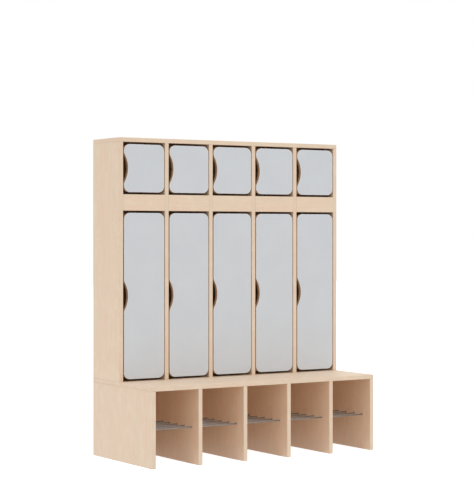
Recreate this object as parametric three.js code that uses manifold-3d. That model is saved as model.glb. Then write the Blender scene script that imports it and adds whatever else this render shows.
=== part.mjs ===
// A children's changing-room locker: five bays side by side, each with a small
// upper locker, a tall coat locker and an open shoe bay under a shared bench.
//
// Millimetres, +Z up. The origin is the middle of the footprint on the floor.
// The doors face -Y, the back sheet faces +Y, and +X is to the right of
// somebody who stands in front of the doors.

import * as THREE from 'three';
import { mergeVertices } from 'three/addons/utils/BufferGeometryUtils.js';
import Module from 'manifold-3d';

const wasm = await Module();
wasm.setup();

// ---------------------------------------------------------------- sizes

// Carcass
const BAYS = 5;
const BOARD = 18;                     // every board and door
const PITCH = 215;                    // from one upright to the next
const WIDTH = BAYS * PITCH + BOARD;
const DEPTH = 500;                    // bench front to back sheet
const UPPER_DEPTH = 230;              // of the part above the bench
const HEIGHT = 1324;
const SEAT_TOP = 324;
const RAIL_BOTTOM = 1024;
const RAIL_HEIGHT = 67;
const BACK_SHEET = 3;

// Doors
const HINGE_GAP = 3;                  // between door and upright at the hinges
const GRIP_GAP = 5;                   // and at the finger cut-out
const END_GAP = 9;                    // above and below each door
const DOOR_RECESS = 0.6;              // door face behind the board edges
const CORNER_RADIUS = 27;
const DOOR_ROUNDING = 2;              // of the rim of both faces
const GRIP_LENGTH = 138;              // finger cut-out, along the door edge
const GRIP_DEPTH = 19;

// Shoe rods
const RODS = 5;
const ROD_DIAMETER = 6;
const ROD_HEIGHT = 149;
const FIRST_ROD = 55;                 // behind the bench front
const ROD_PITCH = 58;
const ROD_SOCKET = 10;                // blind hole in each outer side
const ROD_END_PLAY = 1;
const DRILL_PLAY = 0.3;               // radial, around a rod

// Hinge arms
const UPPER_HINGE_INSET = 48;         // hinge centre from each end of the door
const TALL_HINGE_INSET = 80;
const ARM_HEIGHT = 14;
const PLATE_HEIGHT = 50;
const PLATE_THICKNESS = 4;
const PLATE_FRONT = 48;               // behind the front of the upper boards
const PLATE_DEPTH = 18;

// Places that follow from the sizes
const LEFT = -WIDTH / 2;
const FRONT = -DEPTH / 2;             // bench front
const BACK = DEPTH / 2 - BACK_SHEET;  // rear edge of the boards
const FACE = DEPTH / 2 - UPPER_DEPTH; // front of the upper boards
const SEAT_UNDER = SEAT_TOP - BOARD;
const TOP_UNDER = HEIGHT - BOARD;
const RAIL_TOP = RAIL_BOTTOM + RAIL_HEIGHT;
const BAY_WIDTH = PITCH - BOARD;
const DOOR_WIDTH = BAY_WIDTH - GRIP_GAP - HINGE_GAP;

// ------------------------------------------------------------ materials

const maple = new THREE.MeshStandardMaterial({ color: 0xe0cbb3, roughness: 0.55, metalness: 0 });
const mapleEdge = new THREE.MeshStandardMaterial({ color: 0xe2cdb7, roughness: 0.5, metalness: 0 });
const greyLaminate = new THREE.MeshStandardMaterial({ color: 0xc9cbcd, roughness: 0.5, metalness: 0 });
const paleSheet = new THREE.MeshStandardMaterial({ color: 0xdccbb5, roughness: 0.7, metalness: 0 });
const rodSteel = new THREE.MeshStandardMaterial({ color: 0x9b9b9b, roughness: 0.35, metalness: 0.9 });
const hingeSteel = new THREE.MeshStandardMaterial({ color: 0xb4b4b2, roughness: 0.3, metalness: 1 });

// -------------------------------------------------------------- helpers

const locker = new THREE.Group();

function addPiece(name, geometry, material) {
  const mesh = new THREE.Mesh(geometry, material);
  mesh.name = name;
  locker.add(mesh);
  return mesh;
}

// A box given by its lowest and highest corner.
function boxBetween([x0, y0, z0], [x1, y1, z1]) {
  const box = new THREE.BoxGeometry(x1 - x0, y1 - y0, z1 - z0);
  return box.translate((x0 + x1) / 2, (y0 + y1) / 2, (z0 + z1) / 2);
}

function toSolid(geometry) {
  const bare = geometry.clone();
  bare.deleteAttribute('normal');
  bare.deleteAttribute('uv');
  const merged = mergeVertices(bare);
  const { array } = merged.getAttribute('position');
  return new wasm.Manifold(new wasm.Mesh({
    numProp: 3,
    vertProperties: Float32Array.from(array),
    triVerts: Uint32Array.from(merged.getIndex().array),
  }));
}

function toGeometry(solid) {
  const { vertProperties, triVerts } = solid.getMesh();
  const geometry = new THREE.BufferGeometry();
  geometry.setAttribute('position', new THREE.BufferAttribute(vertProperties, 3));
  geometry.setIndex(new THREE.BufferAttribute(triVerts, 1));
  geometry.computeVertexNormals();
  return geometry;
}

function uprightLeft(index) {
  return LEFT + index * PITCH;
}

function bayLeft(bay) {
  return uprightLeft(bay - 1) + BOARD;
}

// -------------------------------------------------------------- uprights

// The lower uprights carry the bench. The shoe rods run through the four
// dividers and end in blind holes in the two outer sides.
function rodY(rod) {
  return FRONT + FIRST_ROD + (rod - 1) * ROD_PITCH;
}

function drilledUpright(left, drillFrom, drillTo) {
  let solid = toSolid(boxBetween([left, FRONT, 0], [left + BOARD, BACK, SEAT_UNDER]));
  for (let rod = 1; rod <= RODS; rod += 1) {
    const drill = new THREE.CylinderGeometry(
      ROD_DIAMETER / 2 + DRILL_PLAY, ROD_DIAMETER / 2 + DRILL_PLAY, drillTo - drillFrom, 16,
    );
    drill.rotateZ(Math.PI / 2);
    drill.translate((drillFrom + drillTo) / 2, rodY(rod), ROD_HEIGHT);
    solid = solid.subtract(toSolid(drill));
  }
  return toGeometry(solid);
}

const DRILL_OVERRUN = 5;
const leftFace = uprightLeft(0) + BOARD;
const rightFace = uprightLeft(BAYS);
addPiece(
  'lower_side_left',
  drilledUpright(uprightLeft(0), leftFace - ROD_SOCKET, leftFace + DRILL_OVERRUN),
  maple,
);
addPiece(
  'lower_side_right',
  drilledUpright(uprightLeft(BAYS), rightFace - DRILL_OVERRUN, rightFace + ROD_SOCKET),
  maple,
);
for (let divider = 1; divider < BAYS; divider += 1) {
  const left = uprightLeft(divider);
  addPiece(
    `lower_divider_${divider}`,
    drilledUpright(left, left - DRILL_OVERRUN, left + BOARD + DRILL_OVERRUN),
    maple,
  );
}

function upperUpright(name, index) {
  const left = uprightLeft(index);
  addPiece(name, boxBetween([left, FACE, SEAT_TOP], [left + BOARD, BACK, TOP_UNDER]), maple);
}

upperUpright('upper_side_left', 0);
upperUpright('upper_side_right', BAYS);
for (let divider = 1; divider < BAYS; divider += 1) {
  upperUpright(`upper_divider_${divider}`, divider);
}

// ------------------------------------------------------ boards and sheet

addPiece('seat_board', boxBetween([LEFT, FRONT, SEAT_UNDER], [-LEFT, BACK, SEAT_TOP]), mapleEdge);
addPiece('top_board', boxBetween([LEFT, FACE, TOP_UNDER], [-LEFT, BACK, HEIGHT]), mapleEdge);
addPiece('back_panel', boxBetween([LEFT, BACK, 0], [-LEFT, BACK + BACK_SHEET, HEIGHT]), paleSheet);

for (let bay = 1; bay <= BAYS; bay += 1) {
  const left = bayLeft(bay);
  const right = left + BAY_WIDTH;
  addPiece(
    `rail_${bay}`,
    boxBetween([left, FACE, RAIL_BOTTOM], [right, FACE + BOARD, RAIL_TOP]),
    mapleEdge,
  );
  addPiece(
    `shelf_${bay}`,
    boxBetween([left, FACE + BOARD, RAIL_TOP - BOARD], [right, BACK, RAIL_TOP]),
    maple,
  );
}

// -------------------------------------------------------------- shoe rods

const rodLength = WIDTH - 2 * (BOARD - ROD_SOCKET + ROD_END_PLAY);
for (let rod = 1; rod <= RODS; rod += 1) {
  const geometry = new THREE.CylinderGeometry(ROD_DIAMETER / 2, ROD_DIAMETER / 2, rodLength, 16);
  geometry.rotateZ(Math.PI / 2);
  addPiece(`shoe_rod_${rod}`, geometry, rodSteel).position.set(0, rodY(rod), ROD_HEIGHT);
}

// ------------------------------------------------------------------ doors

// The outline of a door, seen from the front, with its lower left corner at
// the origin. Halfway up the left edge is the finger cut-out: a shallow
// hollow whose ends turn back into the edge with the corners' own radius.
function doorOutline(height) {
  const r = CORNER_RADIUS;
  const middle = height / 2;
  const halfGrip = GRIP_LENGTH / 2;
  const turn = 2 * Math.atan(GRIP_DEPTH / halfGrip);
  const hollowRadius = halfGrip / Math.sin(turn) - r;
  const outline = new THREE.Shape();
  outline.absarc(DOOR_WIDTH - r, r, r, -Math.PI / 2, 0);
  outline.absarc(DOOR_WIDTH - r, height - r, r, 0, Math.PI / 2);
  outline.absarc(r, height - r, r, Math.PI / 2, Math.PI);
  outline.absarc(r, middle + halfGrip, r, Math.PI, Math.PI + turn);
  outline.absarc(GRIP_DEPTH - hollowRadius, middle, hollowRadius, turn, -turn, true);
  outline.absarc(r, middle - halfGrip, r, Math.PI - turn, Math.PI);
  outline.absarc(r, r, r, Math.PI, Math.PI * 1.5);
  outline.closePath();
  return outline;
}

function addDoor(name, bay, bottom, top) {
  const geometry = new THREE.ExtrudeGeometry(doorOutline(top - bottom), {
    depth: BOARD - 2 * DOOR_ROUNDING,
    curveSegments: 4,
    bevelThickness: DOOR_ROUNDING,
    bevelSize: DOOR_ROUNDING,
    bevelOffset: -DOOR_ROUNDING,
    bevelSegments: 1,
  });
  geometry.rotateX(Math.PI / 2);
  const door = addPiece(name, geometry, greyLaminate);
  door.position.set(
    bayLeft(bay) + GRIP_GAP,
    FACE + DOOR_RECESS + BOARD - DOOR_ROUNDING,
    bottom,
  );
}

const upperDoor = { bottom: RAIL_TOP + END_GAP, top: TOP_UNDER - END_GAP };
const tallDoor = { bottom: SEAT_TOP + END_GAP, top: RAIL_BOTTOM - END_GAP };
for (let bay = 1; bay <= BAYS; bay += 1) {
  addDoor(`upper_door_${bay}`, bay, upperDoor.bottom, upperDoor.top);
  addDoor(`tall_door_${bay}`, bay, tallDoor.bottom, tallDoor.top);
}

// ------------------------------------------------------------ hinge arms

// The half of a concealed hinge that stays on the upright at the right of
// its door: a mounting plate and a cranked arm that reaches to just behind
// the door. The outline is the arm seen from above: how far it stands out
// from the upright, and how far it lies behind the front of the boards.
function armOutline() {
  const corners = [
    [PLATE_THICKNESS, 40],
    [15, 30],
    [15, 21],
    [27, 21],
    [27, 34],
    [14, 50],
    [14, 88],
    [PLATE_THICKNESS, 92],
  ];
  return new THREE.Shape(corners.map(([out, behind]) => new THREE.Vector2(-out, behind)));
}

const arm = new THREE.ExtrudeGeometry(armOutline(), { depth: ARM_HEIGHT, bevelEnabled: false });
arm.translate(0, 0, -ARM_HEIGHT / 2);
const plate = boxBetween(
  [-PLATE_THICKNESS, PLATE_FRONT, -PLATE_HEIGHT / 2],
  [0, PLATE_FRONT + PLATE_DEPTH, PLATE_HEIGHT / 2],
);
const hingeArm = toGeometry(toSolid(arm).add(toSolid(plate)));

function addHingeArm(name, bay, height) {
  addPiece(name, hingeArm, hingeSteel).position.set(bayLeft(bay) + BAY_WIDTH, FACE, height);
}

for (let bay = 1; bay <= BAYS; bay += 1) {
  addHingeArm(`hinge_arm_upper_${bay}_top`, bay, upperDoor.top - UPPER_HINGE_INSET);
  addHingeArm(`hinge_arm_upper_${bay}_bottom`, bay, upperDoor.bottom + UPPER_HINGE_INSET);
  addHingeArm(`hinge_arm_tall_${bay}_top`, bay, tallDoor.top - TALL_HINGE_INSET);
  addHingeArm(`hinge_arm_tall_${bay}_bottom`, bay, tallDoor.bottom + TALL_HINGE_INSET);
}

export default locker;
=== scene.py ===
# %% [markdown]
# # A children's changing-room locker
#
# The real object is a flat-pack cabinet: 18 mm boards with a printed maple
# pattern, grey doors with a finger cut-out, steel shoe rods, concealed hinges
# and coat hooks. Flat boards look like plain boxes until their edges are
# right, so this lesson spends its effort on edges, seams and hardware.
#
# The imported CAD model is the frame. Every place below comes from it.

# %% Load the frame
import math

import bmesh
import bpy
from mathutils import Matrix, Vector


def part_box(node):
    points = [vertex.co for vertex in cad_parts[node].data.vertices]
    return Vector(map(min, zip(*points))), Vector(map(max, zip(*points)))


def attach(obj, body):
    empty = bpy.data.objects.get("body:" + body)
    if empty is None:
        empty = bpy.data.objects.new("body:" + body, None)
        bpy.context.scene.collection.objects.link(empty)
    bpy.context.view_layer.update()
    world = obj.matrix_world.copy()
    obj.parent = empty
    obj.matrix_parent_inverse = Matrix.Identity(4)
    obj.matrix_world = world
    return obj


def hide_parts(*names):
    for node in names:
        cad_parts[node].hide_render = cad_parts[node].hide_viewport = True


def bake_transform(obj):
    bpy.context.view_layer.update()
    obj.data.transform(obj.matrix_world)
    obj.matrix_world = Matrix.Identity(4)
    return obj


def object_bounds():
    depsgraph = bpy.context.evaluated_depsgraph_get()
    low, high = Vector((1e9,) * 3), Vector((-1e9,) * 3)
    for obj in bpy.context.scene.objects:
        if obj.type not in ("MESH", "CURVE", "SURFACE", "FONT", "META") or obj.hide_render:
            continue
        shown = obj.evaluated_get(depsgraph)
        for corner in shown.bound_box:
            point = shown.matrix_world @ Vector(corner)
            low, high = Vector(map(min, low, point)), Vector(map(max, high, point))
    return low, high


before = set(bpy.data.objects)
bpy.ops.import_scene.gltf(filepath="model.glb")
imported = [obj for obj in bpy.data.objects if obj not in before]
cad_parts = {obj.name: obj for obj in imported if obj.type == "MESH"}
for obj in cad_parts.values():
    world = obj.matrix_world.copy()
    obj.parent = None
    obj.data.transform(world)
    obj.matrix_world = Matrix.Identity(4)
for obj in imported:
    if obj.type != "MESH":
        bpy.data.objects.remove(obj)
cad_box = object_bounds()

# %% [markdown]
# ## Sizes
#
# A maker measures the carcass first and works everything else out from it.
# The box of one side board gives its thickness and where the fronts lie, in
# metres.

# %% Carcass sizes
MM = 0.001
BAYS = range(1, 6)
DOOR_KINDS = ("upper", "tall")
side_low, side_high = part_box("upper_side_left")
BOARD = side_high.x - side_low.x
UPPER_FRONT = side_low.y
print(f"boards {BOARD / MM:.0f} mm thick, upper front at y = {UPPER_FRONT:.3f}")

# %% [markdown]
# ## From a bmesh to a finished piece
#
# Every piece ends the same way: its mesh becomes an object that sits at the
# origin, gets its finishes, rides on a body of the frame and hides the CAD
# nodes it stands for. Flat faces stay flat-shaded and only the small faces of
# rounded edges are smoothed, because smoothing a whole board would bend the
# light across its big faces.

# %% Finishing helpers
def smooth_rounded_faces(bm, flat_area):
    """Shades the small faces of rounded edges smooth and leaves the big ones flat."""
    for face in bm.faces:
        face.smooth = face.calc_area() < flat_area


def finish_piece(bm, name, finishes, body, stands_for=()):
    mesh = bpy.data.meshes.new(name)
    bm.normal_update()
    bm.to_mesh(mesh)
    bm.free()
    piece = bpy.data.objects.new(name, mesh)
    bpy.context.scene.collection.objects.link(piece)
    for finish in finishes:
        mesh.materials.append(finish)
    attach(piece, body)
    if stands_for:
        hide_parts(*stands_for)
    return piece


# %% [markdown]
# ## A level camera
#
# A level camera keeps every upright vertical in the picture, as a catalogue
# picture of furniture does. Instead of tilting it down, the lens is shifted a
# little, which slides the picture without bending the lines.

# %% Camera
CAMERA_PLACE = (-3.7202, -5.8534, 0.9308)
CAMERA_TURN = math.radians(-32.4913)
camera_data = bpy.data.cameras.new("catalogue_camera")
camera_data.lens = 117.5
camera_data.sensor_width = 36
camera_data.shift_y = -0.0332
camera_data.clip_end = 60
camera = bpy.data.objects.new("catalogue_camera", camera_data)
camera.location = CAMERA_PLACE
camera.rotation_euler = (math.pi / 2, 0, CAMERA_TURN)
bpy.context.scene.collection.objects.link(camera)
bpy.context.scene.camera = camera
print("camera turned", round(math.degrees(CAMERA_TURN), 1), "degrees from the front")

# %% [markdown]
# ## Colours and node helpers
#
# Colours are noted as a painter's swatch from 0 to 255, and Blender's shaders
# want linear light, so one function turns the first into the second. Another
# adds a node and fills its sockets in one go, which keeps each finish short
# enough to read.

# %% Node helpers
def swatch(red, green, blue):
    """A colour from 0 to 255 as linear light with alpha."""
    def linear(value):
        share = value / 255
        if share <= 0.04045:
            return share / 12.92
        return ((share + 0.055) / 1.055) ** 2.4

    return (linear(red), linear(green), linear(blue), 1.0)


def start_finish(name):
    """A new material, its node tree and its shader."""
    finish = bpy.data.materials.new(name)
    finish.use_nodes = True
    return finish, finish.node_tree, finish.node_tree.nodes["Principled BSDF"]


def add_node(tree, kind, sockets=None, **settings):
    """Adds a node. A socket's value is a number, a colour, or another node's output."""
    node = tree.nodes.new("ShaderNode" + kind)
    for key, value in settings.items():
        setattr(node, key, value)
    for key, value in (sockets or {}).items():
        if isinstance(value, bpy.types.NodeSocket):
            tree.links.new(value, node.inputs[key])
        else:
            node.inputs[key].default_value = value
    return node


def noise(tree, place, scale, detail=2.0, roughness=0.5):
    sockets = {"Vector": place, "Scale": scale, "Detail": detail, "Roughness": roughness}
    return add_node(tree, "TexNoise", sockets).outputs["Fac"]


def remap(tree, value, low, high, to_low=0.0, to_high=1.0):
    sockets = {"Value": value, "From Min": low, "From Max": high, "To Min": to_low, "To Max": to_high}
    return add_node(tree, "MapRange", sockets).outputs["Result"]


def mix_colours(tree, share, first, second, blend="MIX"):
    """Mix of two colours: sockets 6 and 7 of the node are its colours, output 2 the result."""
    node = add_node(tree, "Mix", data_type="RGBA", blend_type=blend)
    for index, value in ((0, share), (6, first), (7, second)):
        if isinstance(value, bpy.types.NodeSocket):
            tree.links.new(value, node.inputs[index])
        else:
            node.inputs[index].default_value = value
    return node.outputs[2]


def bump(tree, height, strength, distance):
    sockets = {"Height": height, "Strength": strength, "Distance": distance}
    return add_node(tree, "Bump", sockets).outputs["Normal"]


print("maple swatch in linear light:", [round(c, 3) for c in swatch(224, 203, 179)])

# %% [markdown]
# ## Maple-pattern laminate
#
# Laminated board carries a maple pattern printed on paper under melamine:
# pale, warm, with broad soft bands, thin fibre lines and short dark flecks,
# and no real relief to speak of. A wood texture could be wrapped on with UVs,
# but a solid pattern in object coordinates runs correctly over faces and
# edges alike. Stretching the coordinates along one axis draws the noise out
# into grain. Each board carries its own shift in an attribute, so that two
# boards never continue each other's pattern.
#
# Light that bounces between close maple walls turns rosier each time. A
# renderer stops after a few bounces, so that light is painted in: the walls of
# the shoe bays get a finish of their own, with a painted bounce-light tint.

# %% Maple finish
GRAIN_SHIFT = "grain_shift"
# painted bounce light: the rosy tint that the shoe bays' walls take
BAY_PAINTED_BOUNCE_TINT = (1.05, 0.98, 0.935, 1.0)
BAND_LIFT = 0.985                  # edge bands are a touch darker and have few flecks
BAND_FLECKS = 0.3


def grain_place(tree, along, stretch):
    """Object coordinates plus the board's own shift, drawn out along the grain."""
    here = add_node(tree, "TexCoord").outputs["Object"]
    shift = add_node(tree, "Attribute", attribute_name=GRAIN_SHIFT).outputs["Vector"]
    shifted = add_node(tree, "VectorMath", {0: here, 1: shift}, operation="ADD").outputs["Vector"]
    scale = [1.0, 1.0, 1.0]
    scale["xyz".index(along)] = stretch
    return add_node(tree, "Mapping", {"Vector": shifted, "Scale": scale}).outputs["Vector"]


def maple_finish(name, along, lift=1.0, flecks=1.0, tint=None):
    finish, tree, shader = start_finish(name)
    bands = noise(tree, grain_place(tree, along, 0.07), 42, 1.0)
    streaks = noise(tree, grain_place(tree, along, 0.05), 120, 3.0)
    fibres = noise(tree, grain_place(tree, along, 0.03), 620, 2.0)
    figure = noise(tree, grain_place(tree, along, 0.8), 26, 2.0)
    fleck = noise(tree, grain_place(tree, along, 0.09), 520, 1.0)
    mineral = noise(tree, grain_place(tree, along, 0.16), 150, 4.0, 0.7)
    mineral_zone = noise(tree, grain_place(tree, along, 0.35), 6, 1.0)

    rosy = swatch(229 * lift, 202 * lift, 176 * lift)
    straw = swatch(227 * lift, 205 * lift, 179 * lift)
    colour = mix_colours(tree, remap(tree, bands, 0.42, 0.58), rosy, straw)
    dark_streak = remap(tree, streaks, 0.45, 0.75, 0.0, 0.22)
    colour = mix_colours(tree, dark_streak, colour, swatch(213, 180, 149))
    pale_figure = remap(tree, figure, 0.48, 0.70, 0.0, 0.34)
    colour = mix_colours(tree, pale_figure, colour, swatch(235, 216, 190))
    thin_line = remap(tree, fibres, 0.52, 0.72, 0.0, 0.16)
    colour = mix_colours(tree, thin_line, colour, swatch(190, 156, 122))
    short_fleck = remap(tree, fleck, 0.70, 0.78, 0.0, 0.34 * flecks)
    colour = mix_colours(tree, short_fleck, colour, swatch(166, 129, 98))
    mark = remap(tree, mineral, 0.60, 0.68, 0.0, 0.55 * flecks)
    zone = remap(tree, mineral_zone, 0.58, 0.68)
    mark = add_node(tree, "Math", {0: mark, 1: zone}, operation="MULTIPLY").outputs["Value"]
    colour = mix_colours(tree, mark, colour, swatch(170, 134, 106))
    if tint:
        colour = mix_colours(tree, 1.0, colour, tint, "MULTIPLY")

    tree.links.new(colour, shader.inputs["Base Color"])
    shader.inputs["Specular IOR Level"].default_value = 0.75
    tree.links.new(remap(tree, streaks, 0.3, 0.7, 0.40, 0.52), shader.inputs["Roughness"])
    tree.links.new(bump(tree, fibres, 0.10, 0.0003), shader.inputs["Normal"])
    return finish


maple_upright = maple_finish("maple_upright_grain", "z")
maple_lying = maple_finish("maple_lying_grain", "x")
# the shoe bays' walls, with their bounce light painted in
maple_bay_painted_bounce = maple_finish("maple_bay_grain_painted_bounce", "z", tint=BAY_PAINTED_BOUNCE_TINT)
band_upright = maple_finish("edge_band_upright", "z", lift=BAND_LIFT, flecks=BAND_FLECKS)
band_lying = maple_finish("edge_band_lying", "x", lift=BAND_LIFT, flecks=BAND_FLECKS)

# %% [markdown]
# ## Grey door film and the core under it
#
# The doors are covered at the front with a light grey film that is drawn
# round the rounded rim, where it stretches and turns a little lighter; the
# rim's lighter colour is also a painted highlight, the light that the
# rounding catches. It isn't a mirror and isn't chalk: a faint orange-peel
# surface breaks up its reflections. Behind the rim the edge is the bare core
# of the door, brown fibreboard with fine fibres, which shows in the finger
# cut-out.

# %% Grey film and door core
def grey_film_finish(name, dark, light):
    finish, tree, shader = start_finish(name)
    place = add_node(tree, "TexCoord").outputs["Object"]
    cloud = noise(tree, place, 9, 3.0)
    grit = noise(tree, place, 1500, 2.0)
    colour = mix_colours(tree, remap(tree, cloud, 0.3, 0.7), dark, light)
    colour = mix_colours(tree, remap(tree, grit, 0.45, 0.75, 0.0, 0.10), colour, swatch(186, 188, 192))
    tree.links.new(colour, shader.inputs["Base Color"])
    tree.links.new(remap(tree, cloud, 0.3, 0.7, 0.40, 0.48), shader.inputs["Roughness"])
    tree.links.new(bump(tree, grit, 0.06, 0.0002), shader.inputs["Normal"])
    return finish


def door_core_finish():
    finish, tree, shader = start_finish("door_core")
    place = add_node(tree, "TexCoord").outputs["Object"]
    cloud = noise(tree, place, 120, 3.0)
    fibre = noise(tree, place, 1100, 4.0)
    colour = mix_colours(tree, remap(tree, cloud, 0.3, 0.7), swatch(196, 160, 127), swatch(206, 172, 140))
    colour = mix_colours(tree, remap(tree, fibre, 0.45, 0.75, 0.0, 0.35), colour, swatch(150, 114, 86))
    tree.links.new(colour, shader.inputs["Base Color"])
    tree.links.new(bump(tree, fibre, 0.2, 0.0003), shader.inputs["Normal"])
    shader.inputs["Roughness"].default_value = 0.75
    return finish


grey_film = grey_film_finish("grey_door_film", swatch(202, 206, 211), swatch(205, 209, 213))
# the rim is lighter partly as stretched film and partly as a painted highlight
film_rim_stretch_and_highlight = grey_film_finish("grey_film_rim_stretch_and_highlight", swatch(224, 226, 229), swatch(228, 230, 233))
door_core = door_core_finish()
print("door finishes:", grey_film.name, film_rim_stretch_and_highlight.name, door_core.name)

# %% [markdown]
# ## Steel, fibreboard and screws
#
# The rods are coated steel, satin and mid grey. Hinges are pressed steel with
# a nickel plating that shows faint rolling lines. The back is thin fibreboard
# with a printed face, flatter in tone than the boards.

# %% Metal and fibreboard finishes
def metal_finish(name, dark, light, roughness, metallic, line_scale, along):
    finish, tree, shader = start_finish(name)
    place = add_node(tree, "TexCoord").outputs["Object"]
    scale = [1.0, 1.0, 1.0]
    scale["xyz".index(along)] = 0.05
    drawn = add_node(tree, "Mapping", {"Vector": place, "Scale": scale}).outputs["Vector"]
    lines = noise(tree, drawn, line_scale, 3.0)
    cloud = noise(tree, place, 60, 2.0)
    colour = mix_colours(tree, remap(tree, cloud, 0.3, 0.7), dark, light)
    shader.inputs["Metallic"].default_value = metallic
    tree.links.new(colour, shader.inputs["Base Color"])
    tree.links.new(remap(tree, lines, 0.3, 0.7, roughness - 0.06, roughness + 0.08),
                   shader.inputs["Roughness"])
    tree.links.new(bump(tree, lines, 0.08, 0.0001), shader.inputs["Normal"])
    return finish


rod_coat = metal_finish("rod_coat", swatch(126, 124, 123), swatch(142, 140, 138), 0.36, 0.35, 900, "x")
nickel = metal_finish("nickel_plate", swatch(196, 194, 188), swatch(214, 212, 206), 0.26, 1.0, 1400, "y")
zinc = metal_finish("zinc_screw", swatch(170, 172, 174), swatch(196, 197, 198), 0.32, 1.0, 1800, "z")


def fibreboard_finish():
    finish, tree, shader = start_finish("printed_fibreboard")
    place = grain_place(tree, "z", 0.06)
    bands = noise(tree, place, 55, 4.0, 0.6)
    fibre = noise(tree, add_node(tree, "TexCoord").outputs["Object"], 700, 4.0)
    colour = mix_colours(tree, remap(tree, bands, 0.3, 0.7), swatch(221, 200, 176), swatch(230, 211, 188))
    colour = mix_colours(tree, remap(tree, fibre, 0.5, 0.8, 0.0, 0.25), colour, swatch(186, 158, 130))
    tree.links.new(colour, shader.inputs["Base Color"])
    tree.links.new(bump(tree, fibre, 0.12, 0.0002), shader.inputs["Normal"])
    shader.inputs["Roughness"].default_value = 0.7
    return finish


fibreboard = fibreboard_finish()
print("finishes so far:", len(bpy.data.materials))

# %% [markdown]
# ## Boards with edge bands
#
# A board is a cube stretched to its CAD box. What makes it read as furniture
# is its edges: a 2 mm plastic band glued on where the edge shows, rounded by
# the trimming cutter, and a much smaller break on every other edge, which
# draws the fine dark seam between two boards that meet. A plane cuts the cube
# where the band starts, the faces in front of it take the band's finish, and
# then the edges are bevelled.

# %% Board maker
BAND = 2 * MM
BAND_ROUNDING = 1.4 * MM
PLAIN_ROUNDING = 0.5 * MM
SMALL_FACE = 3e-5                  # square metres: smaller faces belong to a rounded edge
BOARD_FACE, EDGE_BAND, BAY_WALL = range(3)


def stretched_cube(low, high):
    bm = bmesh.new()
    bmesh.ops.create_cube(bm, size=1)
    size = high - low
    bmesh.ops.scale(bm, vec=size, verts=bm.verts)
    bmesh.ops.translate(bm, vec=(low + high) / 2, verts=bm.verts)
    return bm


def round_edges(bm, edges, radius, segments):
    bmesh.ops.bevel(bm, geom=edges, offset=radius, segments=segments, profile=0.5,
                    affect="EDGES", material=-1, clamp_overlap=True)


def on_plane(edge, axis, value):
    return all(abs(vert.co[axis] - value) < 1e-6 for vert in edge.verts)


def band_an_edge(bm, axis, value, inwards):
    """Cuts the board behind one side's band and gives the band its own finish."""
    cut = Vector((0, 0, 0))
    cut[axis] = value + inwards * BAND
    normal = Vector((0, 0, 0))
    normal[axis] = inwards
    geometry = bm.verts[:] + bm.edges[:] + bm.faces[:]
    bmesh.ops.bisect_plane(bm, geom=geometry, plane_co=cut, plane_no=normal)
    for face in bm.faces:
        if (face.calc_center_median()[axis] - cut[axis]) * inwards < -1e-7:
            face.material_index = EDGE_BAND


def set_grain_shift(piece, seed):
    """Every vertex of a board carries the same shift of its pattern."""
    shift = (0.37 * seed, 0.61 * seed, 0.83 * seed)
    attribute = piece.data.attributes.new(GRAIN_SHIFT, "FLOAT_VECTOR", "POINT")
    for item in attribute.data:
        item.vector = shift


board_count = 0


def make_board(node, finish, band, banded_sides):
    """banded_sides lists (axis, which end): which end is 0 for the low one and 1 for the high one."""
    global board_count
    board_count += 1
    low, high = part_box(node)
    bm = stretched_cube(low, high)
    banded_planes = []
    for axis, end in banded_sides:
        value = (low, high)[end][axis]
        band_an_edge(bm, axis, value, 1 if end == 0 else -1)
        banded_planes.append((axis, value))
    sharp = [e for e in bm.edges if e.calc_face_angle(0) > 1]
    shown = [e for e in sharp if any(on_plane(e, *plane) for plane in banded_planes)]
    round_edges(bm, shown, BAND_ROUNDING, 3)
    plain = [e for e in bm.edges if e.calc_face_angle(0) > 1]
    round_edges(bm, plain, PLAIN_ROUNDING, 2)
    smooth_rounded_faces(bm, SMALL_FACE)
    piece = finish_piece(bm, "board_" + node, [finish, band], "root", [node])
    set_grain_shift(piece, board_count)
    return piece


X, Y, Z = range(3)
FRONT_SIDE, BOTTOM_SIDE = (Y, 0), (Z, 0)
LEFT_END, RIGHT_END = (X, 0), (X, 1)

for name in ("upper_side_left", "upper_side_right"):
    make_board(name, maple_upright, band_upright, [FRONT_SIDE])
for number in range(1, 5):
    make_board(f"upper_divider_{number}", maple_upright, band_upright, [FRONT_SIDE])
make_board("top_board", maple_lying, band_lying, [FRONT_SIDE, LEFT_END, RIGHT_END])
make_board("seat_board", maple_lying, band_lying, [FRONT_SIDE, LEFT_END, RIGHT_END])
for bay in BAYS:
    make_board(f"rail_{bay}", maple_lying, band_lying, [BOTTOM_SIDE])
    make_board(f"shelf_{bay}", maple_lying, band_lying, [])
print("boards made:", board_count)

# %% [markdown]
# ## Lower uprights, drilled for the rods
#
# The lower uprights are boards too, with five holes each for the shoe rods. A
# Boolean modifier takes the holes out with cylinders a little wider than the
# rods, and the result is written back as the board's own mesh, so that no
# helper object stays behind. Last, the faces towards a shoe bay take the bay
# walls' finish, with its painted bounce light.

# %% Drilled uprights
DRILL_PLAY = 0.3 * MM


def cut_away(piece, cutter):
    """Takes the cutter's shape out of the piece for good and removes the cutter."""
    modifier = piece.modifiers.new("cut away", "BOOLEAN")
    modifier.operation = "DIFFERENCE"
    modifier.solver = "EXACT"
    modifier.object = cutter
    graph = bpy.context.evaluated_depsgraph_get()
    cut_mesh = bpy.data.meshes.new_from_object(piece.evaluated_get(graph))
    piece.modifiers.remove(modifier)
    cut_mesh.name = piece.data.name
    piece.data = cut_mesh
    bpy.data.objects.remove(cutter)


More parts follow.
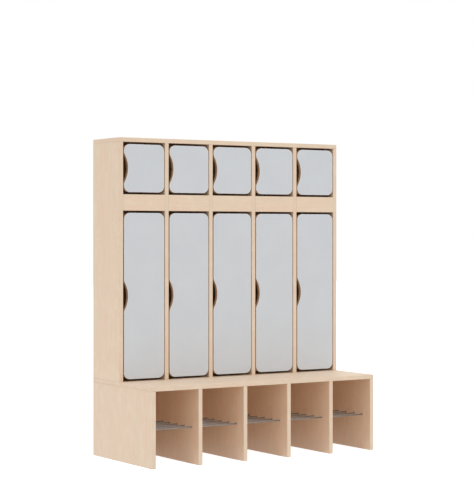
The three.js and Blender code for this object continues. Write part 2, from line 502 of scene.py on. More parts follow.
def cylinder_between(bm, start, end, radius, segments):
    """Adds a closed cylinder from start to end."""
    line = Vector(end) - Vector(start)
    turn = line.to_track_quat("Z", "Y").to_matrix().to_4x4()
    place = Matrix.Translation((Vector(start) + Vector(end)) / 2) @ turn
    return bmesh.ops.create_cone(bm, cap_ends=True, segments=segments, radius1=radius, radius2=radius,
                                 depth=line.length, matrix=place)["verts"]


rod_boxes = [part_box(f"shoe_rod_{number}") for number in BAYS]
rod_radius = (rod_boxes[0][1].z - rod_boxes[0][0].z) / 2


def drill_rod_holes(piece, drill_low, drill_high):
    bm = bmesh.new()
    for low, high in rod_boxes:
        middle = (low + high) / 2
        cylinder_between(bm, (drill_low, middle.y, middle.z), (drill_high, middle.y, middle.z),
                         rod_radius + DRILL_PLAY, 32)
    mesh = bpy.data.meshes.new("drill")
    bm.to_mesh(mesh)
    bm.free()
    drill = bpy.data.objects.new("drill", mesh)
    bpy.context.scene.collection.objects.link(drill)
    cut_away(piece, drill)


def tint_bays_with_painted_bounce(upright, outward):
    """Gives the faces towards a shoe bay the bay walls' finish, with painted bounce light.

    outward is the side that has no bay: -1 for the left one, 1 for the right one, 0 for none.
    """
    upright.data.materials.append(maple_bay_painted_bounce)
    for face in upright.data.polygons:
        towards_bay = abs(face.normal.x) > 0.9 and face.normal.x * outward <= 0
        if towards_bay and face.material_index == BOARD_FACE:
            face.material_index = BAY_WALL


DRILL_OVERRUN = 5 * MM
ROD_END_PLAY = 1 * MM
outward_sides = {"lower_side_left": -1, "lower_side_right": 1}
outward_sides |= {f"lower_divider_{number}": 0 for number in range(1, 5)}
drill_first = rod_boxes[0][0].x - ROD_END_PLAY
drill_last = rod_boxes[0][1].x + ROD_END_PLAY
for name, outward in outward_sides.items():
    upright = make_board(name, maple_upright, band_upright, [FRONT_SIDE, BOTTOM_SIDE])
    low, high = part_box(name)
    drill_from = max(low.x - DRILL_OVERRUN, drill_first)
    drill_to = min(high.x + DRILL_OVERRUN, drill_last)
    drill_rod_holes(upright, drill_from, drill_to)
    tint_bays_with_painted_bounce(upright, outward)
print("lower uprights drilled:", len(outward_sides))

# %% [markdown]
# ## Shoe rods
#
# A rod is a turned bar, with its ends rounded a little so that it can be
# pushed through the holes in the dividers.

# %% Shoe rods
ROD_END_ROUNDING = 0.7 * MM
for number, (low, high) in zip(BAYS, rod_boxes):
    bm = bmesh.new()
    middle = (low + high) / 2
    cylinder_between(bm, (low.x, middle.y, middle.z), (high.x, middle.y, middle.z), rod_radius, 40)
    rims = [e for e in bm.edges if on_plane(e, X, low.x) or on_plane(e, X, high.x)]
    round_edges(bm, rims, ROD_END_ROUNDING, 2)
    for face in bm.faces:
        face.smooth = len(face.verts) == 4
    finish_piece(bm, f"rod_{number}", [rod_coat], "root", [f"shoe_rod_{number}"])
print("rod diameter", round(2 * rod_radius / MM, 1), "mm")

# %% [markdown]
# ## Doors
#
# The outline of a door is straight edges and arcs. Spinning the outline's
# last vertex about an arc's centre leaves a chain of edges behind it, so the
# pencil runs round the door as a compass would: corner, corner, corner, then
# down the left edge through the finger cut-out, which leaves the edge and
# comes back to it with the corners' own radius. The face is filled, pulled
# back to the door's thickness, and its rims are rounded.

# %% Door outline
CORNER = 27 * MM
GRIP_LENGTH = 138 * MM
GRIP_DEPTH = 19 * MM
FILM_ROUNDING = 1.6 * MM
BACK_ROUNDING = 1.0 * MM
CORNER_STEPS = 12
GRIP_STEPS = 24
GRIP_END_STEPS = 6


def arc_on(bm, last, centre, degrees, steps):
    """Carries the outline on from its last vertex, by an arc about centre."""
    made = bmesh.ops.spin(bm, geom=[last], cent=centre, axis=(0, -1, 0), angle=math.radians(degrees),
                          steps=steps, use_duplicate=False)
    return next(item for item in made["geom_last"] if isinstance(item, bmesh.types.BMVert))


def line_on(bm, last, point):
    vert = bm.verts.new(point)
    bm.edges.new((last, vert))
    return vert


def draw_door(bm, low, high):
    """The outline in the plane of the door's face, counter-clockwise seen from the front."""
    front = low.y
    middle = (low.z + high.z) / 2
    half_grip = GRIP_LENGTH / 2
    turn = 2 * math.atan(GRIP_DEPTH / half_grip)
    hollow = half_grip / math.sin(turn) - CORNER
    bend = math.degrees(turn)

    def at(x, z):
        return Vector((x, front, z))

    left, right = low.x + CORNER, high.x - CORNER
    bottom, top = low.z + CORNER, high.z - CORNER
    start = bm.verts.new(at(right, low.z))
    last = arc_on(bm, start, at(right, bottom), 90, CORNER_STEPS)
    last = line_on(bm, last, at(high.x, top))
    last = arc_on(bm, last, at(right, top), 90, CORNER_STEPS)
    last = line_on(bm, last, at(left, high.z))
    last = arc_on(bm, last, at(left, top), 90, CORNER_STEPS)
    last = line_on(bm, last, at(low.x, middle + half_grip))
    last = arc_on(bm, last, at(left, middle + half_grip), bend, GRIP_END_STEPS)
    last = arc_on(bm, last, at(low.x + GRIP_DEPTH - hollow, middle), -2 * bend, GRIP_STEPS)
    last = arc_on(bm, last, at(left, middle - half_grip), bend, GRIP_END_STEPS)
    last = line_on(bm, last, at(low.x, bottom))
    last = arc_on(bm, last, at(left, bottom), 90, CORNER_STEPS)
    bm.edges.new((last, start))


FILM, RIM, CORE, DOOR_REAR = range(4)


def make_door(node, body, seed):
    low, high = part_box(node)
    bm = bmesh.new()
    draw_door(bm, low, high)
    face = bmesh.ops.contextual_create(bm, geom=bm.edges[:])["faces"][0]
    if face.normal.y > 0:
        face.normal_flip()
    made = bmesh.ops.extrude_face_region(bm, geom=[face])["geom"]
    back_verts = [item for item in made if isinstance(item, bmesh.types.BMVert)]
    bmesh.ops.translate(bm, vec=(0, high.y - low.y, 0), verts=back_verts)
    bmesh.ops.recalc_face_normals(bm, faces=bm.faces[:])
    for face in bm.faces:
        face.material_index = {-1: FILM, 0: CORE, 1: DOOR_REAR}[round(face.normal.y)]
    front_rim = [e for e in bm.edges if on_plane(e, Y, low.y)]
    round_edges(bm, front_rim, FILM_ROUNDING, 5)
    back_rim = [e for e in bm.edges if on_plane(e, Y, high.y)]
    round_edges(bm, back_rim, BACK_ROUNDING, 2)
    for face in bm.faces:
        centre = face.calc_center_median()
        # the rounded front rim takes the lighter rim finish, in part a painted highlight
        if low.y + 1e-6 < centre.y < low.y + FILM_ROUNDING:
            face.material_index = RIM
        elif centre.y > high.y - BACK_ROUNDING:
            face.material_index = DOOR_REAR
        face.smooth = abs(face.normal.y) < 0.999
    finishes = [grey_film, film_rim_stretch_and_highlight, door_core, maple_upright]
    door = finish_piece(bm, node.replace("door", "leaf"), finishes, body, [node])
    set_grain_shift(door, seed)
    return door


FIRST_SEEDS = {"upper": 20, "tall": 27}
doors = {}
for bay in BAYS:
    for kind in DOOR_KINDS:
        node = f"{kind}_door_{bay}"
        doors[node] = make_door(node, f"{kind}_leaf_{bay}", FIRST_SEEDS[kind] + bay)
print("doors made:", len(doors))

# %% [markdown]
# ## Back sheet
#
# The back is one thin fibreboard sheet, pinned to the rear edges of all the
# uprights and boards. It closes the shoe bays as well. A sheet this thin has
# no rounding to speak of, only a sawn edge with its arris broken. The pins
# are what one sees: a row of small flat heads along every board behind it.

# %% Back sheet
SHEET_ARRIS = 0.3 * MM
sheet_low, sheet_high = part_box("back_panel")
bm = stretched_cube(sheet_low, sheet_high)
round_edges(bm, bm.edges[:], SHEET_ARRIS, 1)
sheet_piece = finish_piece(bm, "back_sheet", [fibreboard], "root", ["back_panel"])
set_grain_shift(sheet_piece, 3)
print("back sheet", round((sheet_high.y - sheet_low.y) / MM, 1), "mm thick")

# %% Pins of the back sheet
PIN_RADIUS = 3 * MM
PIN_HEIGHT = 0.5 * MM
PIN_SPACING = 0.15


def evenly(first, last, spacing):
    """Places from first to last, spread evenly, no further apart than spacing."""
    count = max(1, math.ceil((last - first) / spacing))
    return [first + (last - first) * step / count for step in range(count + 1)]


def board_middle(node, axis):
    low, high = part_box(node)
    return (low[axis] + high[axis]) / 2


upright_nodes = ["lower_side_left"] + [f"lower_divider_{n}" for n in range(1, 5)] + ["lower_side_right"]
pin_columns = [board_middle(node, X) for node in upright_nodes]
pin_levels = evenly(sheet_low.z + BOARD, board_middle("seat_board", Z), PIN_SPACING)
pin_levels += evenly(board_middle("seat_board", Z), board_middle("shelf_1", Z), PIN_SPACING)[1:]
pin_levels += evenly(board_middle("shelf_1", Z), board_middle("top_board", Z), PIN_SPACING)[1:]
pin_places = {(x, z) for x in pin_columns for z in pin_levels}
for board in ("seat_board", "shelf_1", "top_board"):
    between = [(a + b) / 2 for a, b in zip(pin_columns, pin_columns[1:])]
    pin_places |= {(x, board_middle(board, Z)) for x in between}

bm = bmesh.new()
face_back = Matrix.Rotation(math.radians(-90), 4, "X")
for x, z in sorted(pin_places):
    place = Matrix.Translation((x, sheet_high.y + PIN_HEIGHT / 2, z)) @ face_back
    bmesh.ops.create_cone(bm, cap_ends=True, segments=12, radius1=PIN_RADIUS, radius2=0.7 * PIN_RADIUS,
                          depth=PIN_HEIGHT, matrix=place)
finish_piece(bm, "back_sheet_pins", [zinc], "root")
print("pins in the back sheet:", len(pin_places))

# %% [markdown]
# ## A screw head to copy
#
# Hinges and hooks are screwed on with cross-head screws. One head is turned
# as a shallow cone with a rounded rim, a cross is cut out of it, and every
# other head is a scaled copy of that mesh. It has a radius of one, so the
# size given for a copy is its radius.

# %% Screw head
HEAD_HEIGHT = 0.4
CROSS = (1.1, 0.24, 0.5)           # length, width and height of one slot of the cross
SCREW_FINISH = 1                   # a fitting has its plating as finish 0 and its screws as 1


def as_object(bm, name):
    """A plain object for a shape that still has to be cut."""
    mesh = bpy.data.meshes.new(name)
    bm.to_mesh(mesh)
    bm.free()
    made = bpy.data.objects.new(name, mesh)
    bpy.context.scene.collection.objects.link(made)
    return made


def keep_mesh_only(made):
    mesh = made.data
    bpy.data.objects.remove(made)
    return mesh


def turned_head():
    bm = bmesh.new()
    bmesh.ops.create_cone(bm, cap_ends=True, segments=24, radius1=1, radius2=0.86, depth=HEAD_HEIGHT,
                          matrix=Matrix.Translation((0, 0, HEAD_HEIGHT / 2)))
    round_edges(bm, [e for e in bm.edges if on_plane(e, Z, HEAD_HEIGHT)], 0.12, 2)
    for face in bm.faces:
        face.smooth = abs(face.normal.z) < 0.99
    return bm


head = as_object(turned_head(), "screw_head")
for size in (CROSS, (CROSS[1], CROSS[0], CROSS[2])):
    bm = bmesh.new()
    bmesh.ops.create_cube(bm, size=1)
    bmesh.ops.scale(bm, vec=size, verts=bm.verts)
    bmesh.ops.translate(bm, vec=(0, 0, HEAD_HEIGHT), verts=bm.verts)
    cut_away(head, as_object(bm, "cross"))
screw_head = keep_mesh_only(head)


def add_copy(bm, mesh, matrix, finish_number=None):
    """Adds a copy of a mesh at a place, with all its faces in one finish if a number is given."""
    old_verts, old_faces = set(bm.verts), set(bm.faces)
    bm.from_mesh(mesh)
    new_verts = [vert for vert in bm.verts if vert not in old_verts]
    bmesh.ops.transform(bm, matrix=matrix, verts=new_verts)
    if finish_number is not None:
        for face in bm.faces:
            if face not in old_faces:
                face.material_index = finish_number


def add_screw(bm, place, towards, radius, turn):
    """A head that stands on place and looks towards a direction, turned about its own axis."""
    look = Vector(towards).to_track_quat("Z", "Y").to_matrix().to_4x4()
    twist = Matrix.Rotation(math.radians(turn), 4, "Z")
    matrix = Matrix.Translation(place) @ look @ twist @ Matrix.Scale(radius, 4)
    add_copy(bm, screw_head, matrix, SCREW_FINISH)


print("faces of a screw head:", len(screw_head.polygons))

# %% [markdown]
# ## Concealed hinges: how they sit
#
# Nothing of a hinge shows when a door is shut, so these are cup hinges. A cup
# sits in a 35 mm hole in the back of the door, an arm sits on a mounting
# plate on the upright, and two links join them. The doors lie between the
# uprights, so the arm is cranked out from the upright towards its door.
#
# All twenty are alike and face the same way. Each part of a hinge is made
# once, in a local frame, and copied to its places: X points from the upright
# into the bay, so it is minus X of the cabinet; Y is the depth behind the
# front of the boards; Z is the height from the middle of the hinge. Places on
# a hinge are in millimetres until local() turns them into metres.

# %% Hinge places
def local(out, behind, up=0.0):
    """A point of a hinge in millimetres, as the cabinet's own directions in metres."""
    return Vector((-out, behind, up)) * MM


def hinge_corner(node):
    """The point on the upright's front corner, at the height of the hinge's middle."""
    low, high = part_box(node)
    return Vector((high.x, UPPER_FRONT, (low.z + high.z) / 2))


PIVOT = (3.0, 0.6)                 # the door's front corner, which stays still
DOOR_BACK = 18.6
hinge_nodes = {}
for bay in BAYS:
    for kind in DOOR_KINDS:
        for end in ("top", "bottom"):
            hinge_nodes[(kind, bay, end)] = f"hinge_arm_{kind}_{bay}_{end}"
arm_low, arm_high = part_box(hinge_nodes[("tall", 1, "top")])
arm_reach = (arm_high.x - arm_low.x) / MM
arm_front = (arm_low.y - UPPER_FRONT) / MM
arm_back = (arm_high.y - UPPER_FRONT) / MM
print(f"hinge arms reach {arm_reach:.0f} mm out, {arm_front:.0f} to {arm_back:.0f} mm behind the front")

# %% [markdown]
# ## The pressed arm
#
# The arm is pressed from one sheet: a web and two side flanges, open towards
# the upright and at its front end, where the links come out. A solidify on an
# open skin is the usual way to sheet metal, but it throws spikes at sharp
# folds like these. Two bars are safer: the outer shape with its bends
# rounded, and an inner one, a sheet's thickness smaller, cut out of it.

# %% Pressed arm
ARM_WIDTH = 14
SHEET_STEEL = 1.2
BEND_ROUNDING = 1.6 * MM
ARM_PIN_RADIUS = 1.5 * MM
ARM_PIN_OVERHANG = 0.7
WEB_OUT = 14                       # the web's height over the upright
LINK_RADII = (30.0, 26.5)          # outer and inner link, from the pivot
LINK_ARM_ANGLES = (58.0, 57.0)     # their ends in the arm
LINK_CUP_ANGLES = (26.0, 24.0)     # and in the cup, with the door shut
BEND_AREA = 2e-5                   # square metres: smaller faces belong to a bend


def around_pivot(radius, degrees, up=0.0):
    """A point at a distance and an angle from the pivot. Zero degrees runs along the door."""
    turn = math.radians(degrees)
    return local(PIVOT[0] + radius * math.cos(turn), PIVOT[1] + radius * math.sin(turn), up)


def bar_from_outline(outline, height):
    """An upright bar from its outline seen from above, as distances out and behind."""
    bm = bmesh.new()
    bottom = bm.faces.new([bm.verts.new(local(out, behind, -height / 2)) for out, behind in outline])
    made = bmesh.ops.extrude_face_region(bm, geom=[bottom])["geom"]
    risen = [item for item in made if isinstance(item, bmesh.types.BMVert)]
    bmesh.ops.translate(bm, vec=local(0, 0, height), verts=risen)
    bmesh.ops.recalc_face_normals(bm, faces=bm.faces[:])
    return bm


def pressed_arm():
    outside = [(4, 40), (15, 30), (15, arm_front), (arm_reach, arm_front), (arm_reach, 34),
               (WEB_OUT, 50), (WEB_OUT, 88), (4, arm_back)]
    inside = [(-5, 10), (arm_reach - SHEET_STEEL, 10), (arm_reach - SHEET_STEEL, 33.6),
              (WEB_OUT - SHEET_STEEL, 49.6), (WEB_OUT - SHEET_STEEL, 87.2), (-5, 94.3)]
    bar = bar_from_outline(outside, ARM_WIDTH)
    web_faces = [face for face in bar.faces if face.normal.x < -0.3]
    web_edges = {edge for face in web_faces for edge in face.edges}
    round_edges(bar, list(web_edges), BEND_ROUNDING, 3)
    for face in bar.faces:
        face.smooth = face.calc_area() < BEND_AREA
    arm = as_object(bar, "arm")
    cut_away(arm, as_object(bar_from_outline(inside, ARM_WIDTH - 2 * SHEET_STEEL), "arm_inside"))
    bm = bmesh.new()
    add_copy(bm, keep_mesh_only(arm), Matrix.Identity(4))
    half = ARM_WIDTH / 2 + ARM_PIN_OVERHANG
    for radius, angle in zip(LINK_RADII, LINK_ARM_ANGLES):
        pin = around_pivot(radius, angle, -half), around_pivot(radius, angle, half)
        cylinder_between(bm, *pin, ARM_PIN_RADIUS, 16)
    for behind, radius, turn in ((58, 3.8, 58), (77, 3.2, 77)):
        add_screw(bm, local(WEB_OUT, behind), (-1, 0, 0), radius * MM, turn)
    return keep_mesh_only(as_object(bm, "pressed_arm"))


arm_mesh = pressed_arm()
print("faces of a pressed arm:", len(arm_mesh.polygons))

# %% [markdown]
# ## The mounting plate
#
# A die-cast plate with two round-ended wings is screwed to the upright, and a
# saddle on it carries the arm. Both are bevelled boxes; the wings' corners
# have a large radius and the top edges a small one.

# %% Mounting plate
PLATE_FRONT, PLATE_BACK = 48, 66
PLATE_HALF_HEIGHT = 25
WING_THICKNESS = 2.6
WING_CORNER = 7 * MM
SMALL_RIM = 0.6 * MM               # the break on the edges of die-cast and pressed pieces


def rounded_block(bm, low, high, corner, rim, looking):
    """Adds a block whose edges along one axis get a large radius and whose outer rim a small one."""
    block = bmesh.new()
    bmesh.ops.create_cube(block, size=1)
    low, high = Vector(map(min, low, high)), Vector(map(max, low, high))
    bmesh.ops.scale(block, vec=high - low, verts=block.verts)
    bmesh.ops.translate(block, vec=(low + high) / 2, verts=block.verts)
    along = [e for e in block.edges if abs((e.verts[0].co - e.verts[1].co)[looking]) > 1e-5]
    round_edges(block, along, corner, 6)
    for value in (low[looking], high[looking]):
        round_edges(block, [e for e in block.edges if on_plane(e, looking, value)], rim, 2)
    for face in block.faces:
        face.smooth = abs(face.normal[looking]) < 0.99
    mesh = bpy.data.meshes.new("block")
    block.to_mesh(mesh)
    block.free()
    add_copy(bm, mesh, Matrix.Identity(4))
    bpy.data.meshes.remove(mesh)


def mounting_plate():
    bm = bmesh.new()
    rounded_block(bm, local(0, PLATE_FRONT, -PLATE_HALF_HEIGHT),
                  local(WING_THICKNESS, PLATE_BACK, PLATE_HALF_HEIGHT), WING_CORNER, SMALL_RIM, X)
    rounded_block(bm, local(0, 43, -5.2), local(12, 86, 5.2), 2 * MM, SMALL_RIM, X)
    for up, turn in ((-17, 20), (17, 65)):
        add_screw(bm, local(WING_THICKNESS, 57, up), (-1, 0, 0), 4.2 * MM, turn)
    return keep_mesh_only(as_object(bm, "mounting_plate"))


plate_mesh = mounting_plate()
print("faces of a mounting plate:", len(plate_mesh.polygons))

# %% [markdown]
# ## The cup
#
# The cup is deep-drawn: a bowl with a rim, made by spinning its section about
# the middle of the hole. A flange plate with two screws holds it in the door.
# The mouth has to stay open, so it is cut out of the flange plate.

# %% Cup
CUP_OUT = 25.5                     # the cup's middle, from the upright
CUP_RADIUS = 17.5                  # of the hole in the door
CUP_DEPTH = 11.6
MOUTH_RADIUS = 16.3
FLANGE_THICKNESS = 1.2
CUP_PIN_RADIUS = 1.4 * MM
CUP_PIN_HALF = 8
cup_middle = local(CUP_OUT, DOOR_BACK)


def drawn_bowl(bm):
    """Spins the bowl's section, given as radius and height over the door's back."""
    section = [(0, -11.2), (16.0, -11.2), (17.1, -10.1), (17.1, 0), (19.2, 0), (19.2, 0.9),
               (MOUTH_RADIUS, 0.9), (MOUTH_RADIUS, -9.2), (15.2, -10.2), (0, -10.2)]
    bowl = bmesh.new()
    places = [cup_middle + Vector((radius, height, 0)) * MM for radius, height in section]
    points = [bowl.verts.new(place) for place in places]
    chain = [bowl.edges.new(pair) for pair in zip(points, points[1:])]
    bmesh.ops.spin(bowl, geom=points + chain, cent=cup_middle, axis=(0, 1, 0), angle=math.tau, steps=40,
                   use_merge=True)
    bmesh.ops.remove_doubles(bowl, verts=bowl.verts, dist=1e-6)
    bmesh.ops.recalc_face_normals(bowl, faces=bowl.faces[:])
    for face in bowl.faces:
        face.smooth = True
    mesh = keep_mesh_only(as_object(bowl, "bowl"))
    add_copy(bm, mesh, Matrix.Identity(4))


def mouth_cutter(radius, depth):
    bm = bmesh.new()
    cylinder_between(bm, cup_middle - Vector((0, depth * MM, 0)), cup_middle + Vector((0, 5 * MM, 0)),
                     radius * MM, 40)
    return bm


def hinge_cup():
    flange = bmesh.new()
    flange_top = DOOR_BACK + FLANGE_THICKNESS
    rounded_block(flange, local(28, DOOR_BACK, -31), local(43, flange_top, 31), 6 * MM, 0.4 * MM, Y)
    plate = as_object(flange, "flange")
    cut_away(plate, as_object(mouth_cutter(MOUTH_RADIUS, 3), "mouth"))
    bm = bmesh.new()
    add_copy(bm, keep_mesh_only(plate), Matrix.Identity(4))
    drawn_bowl(bm)
    for up, turn in ((-24, 10), (24, 50)):
        add_screw(bm, local(35.5, flange_top, up), (0, 1, 0), 3.8 * MM, turn)
    for radius, angle in zip(LINK_RADII, LINK_CUP_ANGLES):
        pin = around_pivot(radius, angle, -CUP_PIN_HALF), around_pivot(radius, angle, CUP_PIN_HALF)
        cylinder_between(bm, *pin, CUP_PIN_RADIUS, 16)
    return keep_mesh_only(as_object(bm, "hinge_cup"))


cup_mesh = hinge_cup()
print("faces of a hinge cup:", len(cup_mesh.polygons))

# %% [markdown]
# ## The links
#
# Two bent steel straps swing out of the cup when the door opens. Each is a
# flat section spun about the door's pivot. On the cabinet they stay where
# they lie with the door shut.

# %% Links
LINK_THICKNESS = 1.8
LINK_HALF_WIDTHS = (5.0, 3.6)


def hinge_links():
    bm = bmesh.new()
    pivot = local(*PIVOT)
    for radius, half, start, stop in zip(LINK_RADII, LINK_HALF_WIDTHS, LINK_ARM_ANGLES, LINK_CUP_ANGLES):
        strap = bmesh.new()
        inner, outer = radius - LINK_THICKNESS / 2, radius + LINK_THICKNESS / 2
        section = [around_pivot(inner, start, -half), around_pivot(outer, start, -half),
                   around_pivot(outer, start, half), around_pivot(inner, start, half)]
        end_face = strap.faces.new([strap.verts.new(point) for point in section])
        made = bmesh.ops.spin(strap, geom=[end_face], cent=pivot, axis=(0, 0, 1),
                              angle=math.radians(start - stop), steps=30)
        bmesh.ops.recalc_face_normals(strap, faces=strap.faces[:])
        long_edges = [e for e in strap.edges if e.calc_face_angle(0) > 1]
        round_edges(strap, long_edges, 0.5 * MM, 2)
        for face in strap.faces:
            face.smooth = True
        add_copy(bm, keep_mesh_only(as_object(strap, "strap")), Matrix.Identity(4))
    return keep_mesh_only(as_object(bm, "hinge_links"))


links_mesh = hinge_links()
print("faces of a pair of links:", len(links_mesh.polygons))

# %% Hinges in their places
def placed(mesh, corner):
    bm = bmesh.new()
    add_copy(bm, mesh, Matrix.Translation(corner))
    return bm


for (kind, bay, end), node in hinge_nodes.items():
    corner = hinge_corner(node)
    label = f"{kind}_{bay}_{end}"
    leaf = f"{kind}_leaf_{bay}"
    steel = [nickel, zinc]
    finish_piece(placed(arm_mesh, corner), "pressed_arm_" + label, steel, "root", [node])
    finish_piece(placed(plate_mesh, corner), "mounting_plate_" + label, steel, "root")
    finish_piece(placed(cup_mesh, corner), "hinge_cup_" + label, steel, leaf)
    hole = mouth_cutter(CUP_RADIUS, CUP_DEPTH)
    bmesh.ops.translate(hole, vec=corner, verts=hole.verts)
    cut_away(doors[f"{kind}_door_{bay}"], as_object(hole, "cup_hole"))

    bm = placed(links_mesh, corner)
    mesh = bpy.data.meshes.new("hinge_links_" + label)
    bm.to_mesh(mesh)
    bm.free()
    links = bpy.data.objects.new("hinge_links_" + label, mesh)
    bpy.context.scene.collection.objects.link(links)
    mesh.materials.append(nickel)
    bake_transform(links)
print("hinges hung:", len(hinge_nodes))

# %% [markdown]
# ## Coat hooks
#
# Each tall locker has a hook for a coat on the wall beside its hinges. It is
# a small double hook bent from round bar: every prong is a circle pushed
# straight out, spun upwards round a bend, and closed by a ball that spares
# small hands and coat loops.

# %% Coat hooks
HOOK_HEIGHT = 0.93
HOOK_BEHIND = 142                  # from the front of the boards
BAR_RADIUS = 2.6
BALL_RADIUS = 4.4
HOOK_PLATE = 2.4                   # thickness of the plate on the wall


def round_end(bm, radius, matrix):
    """A disc, the end of a round bar."""
    made = bmesh.ops.create_circle(bm, cap_ends=True, segments=16, radius=radius, matrix=matrix)
    return [face for face in bm.faces if all(v in made["verts"] for v in face.verts)]


def move_last(bm, faces, vector):
    made = bmesh.ops.extrude_face_region(bm, geom=faces)["geom"]
    verts = [item for item in made if isinstance(item, bmesh.types.BMVert)]
    bmesh.ops.translate(bm, vec=vector, verts=verts)
    return [item for item in made if isinstance(item, bmesh.types.BMFace)]


def add_prong(bm, up, straight, bend, tip):
    """A prong from the wall plate: straight out, a bend upwards and a straight tip with a ball."""
    prong = bmesh.new()
    start = Matrix.Translation(local(1, 0, up)) @ Matrix.Rotation(math.radians(-90), 4, "Y")
    faces = round_end(prong, BAR_RADIUS * MM, start)
    faces = move_last(prong, faces, local(straight, 0))
    centre = local(1 + straight, 0, up + bend)
    made = bmesh.ops.spin(prong, geom=faces, cent=centre, axis=(0, 1, 0), angle=math.radians(90), steps=8)
    last = [item for item in made["geom_last"] if isinstance(item, bmesh.types.BMFace)]
    move_last(prong, last, (0, 0, tip * MM))
    bmesh.ops.remove_doubles(prong, verts=prong.verts, dist=1e-6)
    inside = [f for f in prong.faces if all(len(e.link_faces) > 2 for e in f.edges)]
    bmesh.ops.delete(prong, geom=inside, context="FACES_ONLY")
    bmesh.ops.recalc_face_normals(prong, faces=prong.faces[:])
    add_copy(bm, keep_mesh_only(as_object(prong, "prong")), Matrix.Identity(4))
    ball_place = Matrix.Translation(local(1 + straight + bend, 0, up + bend + tip))
    bmesh.ops.create_uvsphere(bm, u_segments=20, v_segments=12, radius=BALL_RADIUS * MM, matrix=ball_place)


def coat_hook():
    bm = bmesh.new()
    add_prong(bm, up=8, straight=6, bend=11, tip=10)
    add_prong(bm, up=-14, straight=5, bend=8, tip=3)
    for face in bm.faces:
        face.smooth = True
    rounded_block(bm, local(0, -8, -25), local(HOOK_PLATE, 8, 25), 7 * MM, SMALL_RIM, X)
    for up, turn in ((-20, 35), (18.5, 80)):
        add_screw(bm, local(HOOK_PLATE, 0, up), (-1, 0, 0), 3.2 * MM, turn)
    return keep_mesh_only(as_object(bm, "coat_hook"))


hook_mesh = coat_hook()
for bay in BAYS:
    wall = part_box(hinge_nodes[("tall", bay, "top")])[1].x
    place = Vector((wall, UPPER_FRONT + HOOK_BEHIND * MM, HOOK_HEIGHT))
    finish_piece(placed(hook_mesh, place), f"coat_hook_{bay}", [nickel, zinc], "root")
print("faces of a coat hook:", len(hook_mesh.polygons))

# %% [markdown]
# ## Floor and light
#
# A catalogue picture of pale furniture is lit by a white dome. The dome here
# is brightest overhead and a little darker and warmer below the horizon, as
# light that comes back from a studio floor is. The camera sees it as plain
# white all over. The floor glows by itself, so that the shadow on it stays
# faint, and it is hidden from diffuse rays, so that the dome decides what
# reaches the boards from below. Under the bench that would be too much light:
# the floor there lies in the cabinet's own shade, so a dim plate, which only
# diffuse rays see, lies just under it. One broad soft light from the front
# right gives shape.

# %% Dome
DOME_ABOVE = 1.29
DOME_HORIZON = 0.855
DOME_BELOW = 0.79
WARM_BELOW = (1.0, 0.955, 0.91, 1.0)
world = bpy.data.worlds.new("studio_dome")
world.use_nodes = True
dome = world.node_tree
direction = add_node(dome, "TexCoord").outputs["Generated"]
height = add_node(dome, "SeparateXYZ", {"Vector": direction}).outputs["Z"]
above = remap(dome, height, 0.0, 1.0, DOME_HORIZON, DOME_ABOVE)
below = remap(dome, height, -0.20, -0.10, DOME_BELOW - DOME_HORIZON, 0.0)
strength = add_node(dome, "Math", {0: above, 1: below}, operation="ADD").outputs["Value"]
seen = add_node(dome, "LightPath").outputs["Is Camera Ray"]
strength = add_node(dome, "Math", {0: strength, 1: seen}, operation="MAXIMUM").outputs["Value"]
dome.links.new(strength, dome.nodes["Background"].inputs["Strength"])
warm_share = remap(dome, height, -0.20, -0.10, 1.0, 0.0)
dome_colour = mix_colours(dome, warm_share, (1, 1, 1, 1), WARM_BELOW)
dome.links.new(dome_colour, dome.nodes["Background"].inputs["Color"])
bpy.context.scene.world = world
bpy.context.scene.view_settings.view_transform = "Standard"
print("dome strength from", DOME_BELOW, "below to", DOME_ABOVE, "overhead")

# %% Floor
FLOOR_GREY = (0.3, 0.3, 0.3, 1.0)
FLOOR_GLOW = 0.93
FLOOR_HALF_SIZE = 20


def glowing_finish(name, base, glow, strength):
    finish, _, shader = start_finish(name)
    shader.inputs["Base Color"].default_value = base
    shader.inputs["Emission Color"].default_value = glow
    shader.inputs["Emission Strength"].default_value = strength
    return finish, shader


floor_finish, floor_shader = glowing_finish("studio_floor", FLOOR_GREY, (1, 1, 1, 1), FLOOR_GLOW)
floor_shader.inputs["Roughness"].default_value = 0.9
bm = bmesh.new()
bmesh.ops.create_grid(bm, x_segments=1, y_segments=1, size=FLOOR_HALF_SIZE)
floor_mesh = bpy.data.meshes.new("studio_floor")
bm.to_mesh(floor_mesh)
bm.free()
floor_mesh.materials.append(floor_finish)
floor = bpy.data.objects.new("studio_floor", floor_mesh)
floor.visible_diffuse = False
bpy.context.scene.collection.objects.link(floor)
print("floor", 2 * FLOOR_HALF_SIZE, "m across")

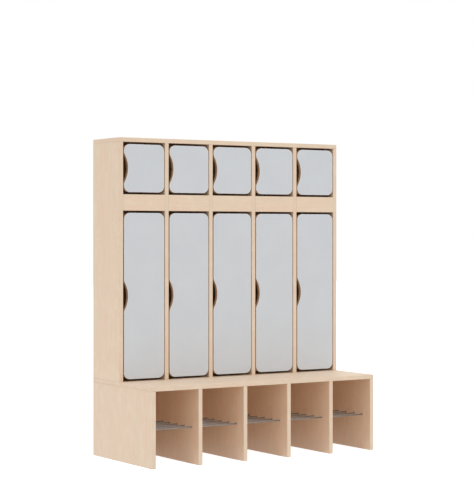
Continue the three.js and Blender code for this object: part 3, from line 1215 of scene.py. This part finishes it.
# %% Shaded floor under the bench
SHADE_COLOUR = (1.0, 0.80, 0.66, 1.0)
SHADE_STRENGTH = 0.36
SHADE_INSET = 0.04                 # metres the shade begins behind the bench's front
SHADE_LOW, SHADE_HIGH = -0.003, -0.002
shade_finish, _ = glowing_finish("shaded_floor", (0, 0, 0, 1), SHADE_COLOUR, SHADE_STRENGTH)
shade_near = Vector((cad_box[0][0], cad_box[0][1] + SHADE_INSET, SHADE_LOW))
shade_far = Vector((cad_box[1][0], cad_box[1][1], SHADE_HIGH))
shade = as_object(stretched_cube(shade_near, shade_far), "shaded_floor")
shade.data.materials.append(shade_finish)
shade.visible_camera = False
shade.visible_glossy = False
print("shaded floor", round(shade_far.y - shade_near.y, 2), "m deep")

# %% Soft light
SOFTBOX_SIZE = (3.0, 2.5)
SOFTBOX_WATTS = 14
SOFTBOX_PLACE = Vector((2.6, -4.2, 3.2))
SOFTBOX_AIM = Vector((0, 0, 0.7))


def area_light(name, size, watts):
    """A rectangular light and its object, not in the scene yet."""
    data = bpy.data.lights.new(name, "AREA")
    data.shape = "RECTANGLE"
    data.size, data.size_y = size
    data.energy = watts
    return bpy.data.objects.new(name, data)


softbox = area_light("softbox", SOFTBOX_SIZE, SOFTBOX_WATTS)
softbox.location = SOFTBOX_PLACE
softbox.rotation_euler = (SOFTBOX_AIM - SOFTBOX_PLACE).to_track_quat("-Z", "Y").to_euler()
bpy.context.scene.collection.objects.link(softbox)
print("softbox at", [round(value, 1) for value in softbox.location])

# %% [markdown]
# ## Fill light in the lockers
#
# With the doors shut, hardly any light gets past gaps of 3 to 5 mm, and they
# would show as black slits. A faint warm lamp inside each locker lifts them to
# dark brown, as the many bounces between maple walls do in reality. It is far
# too weak to notice when a door is open, and no camera sees it.

# %% Locker lamps
LAMP_WATTS_PER_METRE = 0.011
LAMP_COLOUR = (1.0, 0.60, 0.40)
LAMP_WIDTH = 0.12
LAMP_SHARE = 0.8                   # of the door's height
LAMP_BEHIND = 0.19                 # metres behind the fronts
lamps = 0
for bay in BAYS:
    for kind in DOOR_KINDS:
        low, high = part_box(f"{kind}_door_{bay}")
        tall = high.z - low.z
        lamp_size = (LAMP_WIDTH, LAMP_SHARE * tall)
        lamp = area_light(f"locker_lamp_{kind}_{bay}", lamp_size, LAMP_WATTS_PER_METRE * tall)
        lamp.data.color = LAMP_COLOUR
        lamp.location = ((low.x + high.x) / 2, UPPER_FRONT + LAMP_BEHIND, (low.z + high.z) / 2)
        lamp.rotation_euler = (math.radians(-90), 0, 0)
        lamp.visible_camera = False
        lamp.visible_glossy = False
        bpy.context.scene.collection.objects.link(lamp)
        lamps += 1
print("lamps in the lockers:", lamps)
